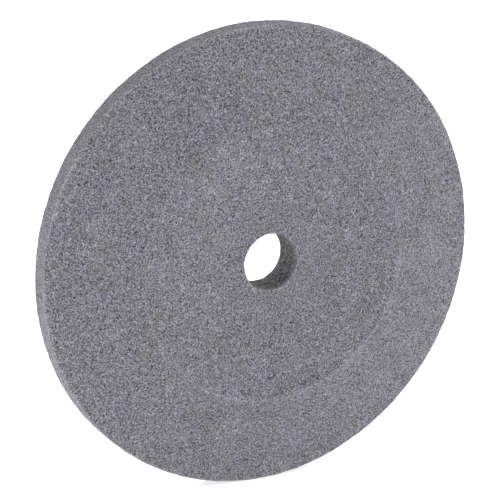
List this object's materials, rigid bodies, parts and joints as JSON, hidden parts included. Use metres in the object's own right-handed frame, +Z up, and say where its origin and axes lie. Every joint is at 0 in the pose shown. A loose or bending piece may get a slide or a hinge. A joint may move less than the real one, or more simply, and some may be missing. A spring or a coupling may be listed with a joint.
{
  "type": "felt polishing wheel",
  "caption": "Solid disc-shaped pressed-felt polishing wheel with a plain bore, flat back, straight thin rim and a conical front taper rising to a shallow dished hub.",
  "frame": {"origin": "centre of the wheel: on the bore's axis, half way between the flat back and the crease ring", "axes": "the wheel turns about +Y; +Y points out of the flat back, -Y out of the tapered face, +Z is up and +X to the right seen from the tapered face"},
  "size_m": [0.1016, 0.011, 0.1016],
  "materials": {
    "felt": "matt grey pressed felt, fine even fibre grain"
  },
  "bodies": {
    "root": {"felt_wheel": "felt"}
  },
  "joints": []
}
